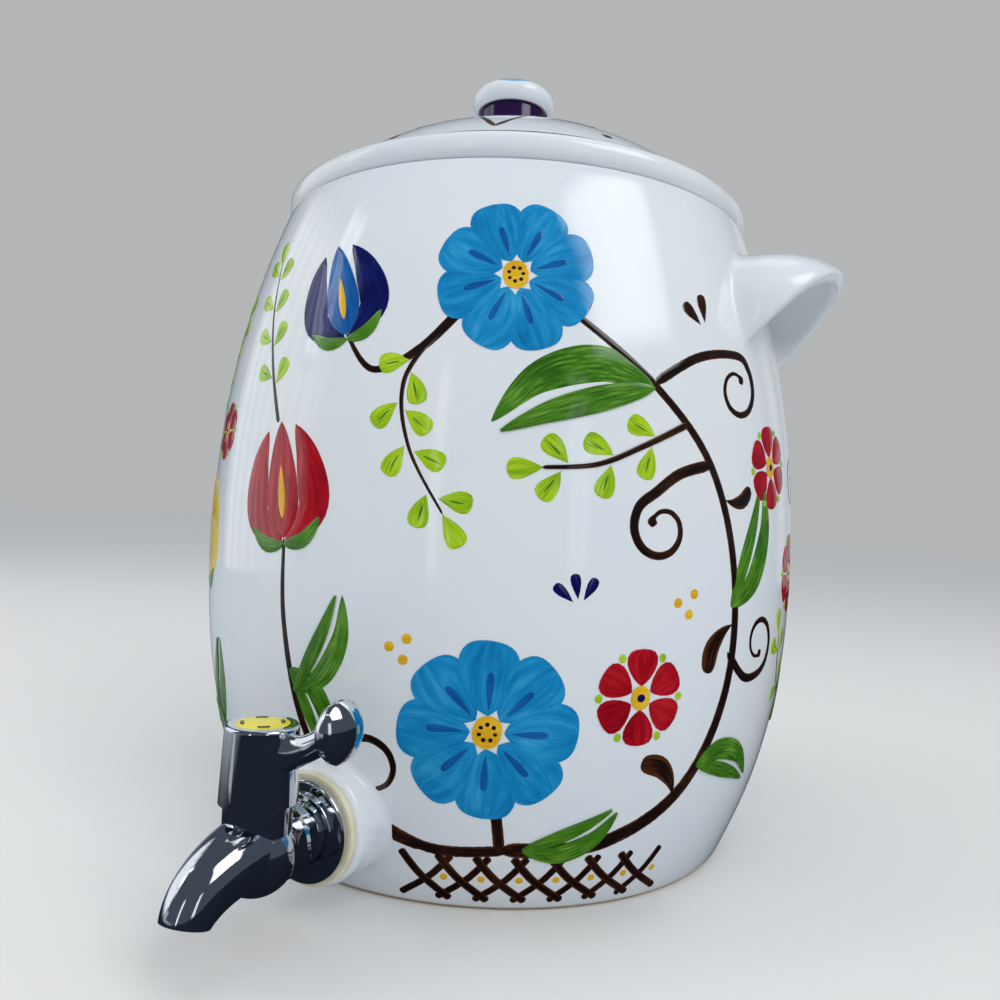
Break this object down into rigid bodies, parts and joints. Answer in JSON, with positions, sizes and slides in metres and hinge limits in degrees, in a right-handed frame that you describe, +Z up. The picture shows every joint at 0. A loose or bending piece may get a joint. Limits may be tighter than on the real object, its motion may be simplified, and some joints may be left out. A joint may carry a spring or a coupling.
{
  "type": "water pot with tap",
  "caption": "Round glazed stoneware water pot with a domed lid, two scoop handles and a chrome quarter-turn tap at its foot.",
  "frame": {"origin": "centre of the pot's flat foot, on the pot's axis at table level", "axes": "+Z up along the pot's axis, -Y towards the tap, +X and -X towards the two scoop handles"},
  "size_m": [0.295, 0.3212, 0.3418],
  "materials": {
    "white_glaze": "glossy white glaze with painted flowers",
    "polished_chrome": "polished",
    "turned_brass": "turned",
    "cream_rubber": "smooth matt",
    "black_rubber": "smooth",
    "disc_ceramic": "lapped flat",
    "spring_steel": "plain",
    "white_plastic": "moulded",
    "yellow_plastic": "moulded"
  },
  "bodies": {
    "pot": {"pot_floor": "white_glaze", "pot_lower_wall": "white_glaze", "pot_upper_wall": "white_glaze", "pot_rim": "white_glaze", "tap_boss": "white_glaze", "right_scoop_handle": "white_glaze", "left_scoop_handle": "white_glaze", "outer_washer": "cream_rubber", "tap_backplate": "polished_chrome", "tap_body": "polished_chrome", "inner_washer": "cream_rubber", "slip_washer": "white_plastic", "lock_nut": "turned_brass", "seat_seal": "black_rubber", "fixed_disc": "disc_ceramic", "bonnet": "polished_chrome", "bonnet_oring": "black_rubber"},
    "tap_lever": {"tap_handle": "polished_chrome", "handle_screw": "spring_steel", "index_button": "yellow_plastic", "spindle": "turned_brass", "spindle_orings": "black_rubber", "spindle_clip": "spring_steel", "turning_disc": "disc_ceramic"},
    "lid": {"lid": "white_glaze", "lid_knob": "white_glaze"}
  },
  "joints": [
    {"name": "tap_turn", "type": "hinge", "parent": "pot", "child": "tap_lever", "pos_m": [0, -0.15707, 0.06], "axis": [0, 0, 1], "range_deg": [-90, 0]},
    {"name": "lid_lift", "type": "slide", "parent": "pot", "child": "lid", "axis": [0, 0, 1], "range_m": [0, 0.12]}
  ]
}
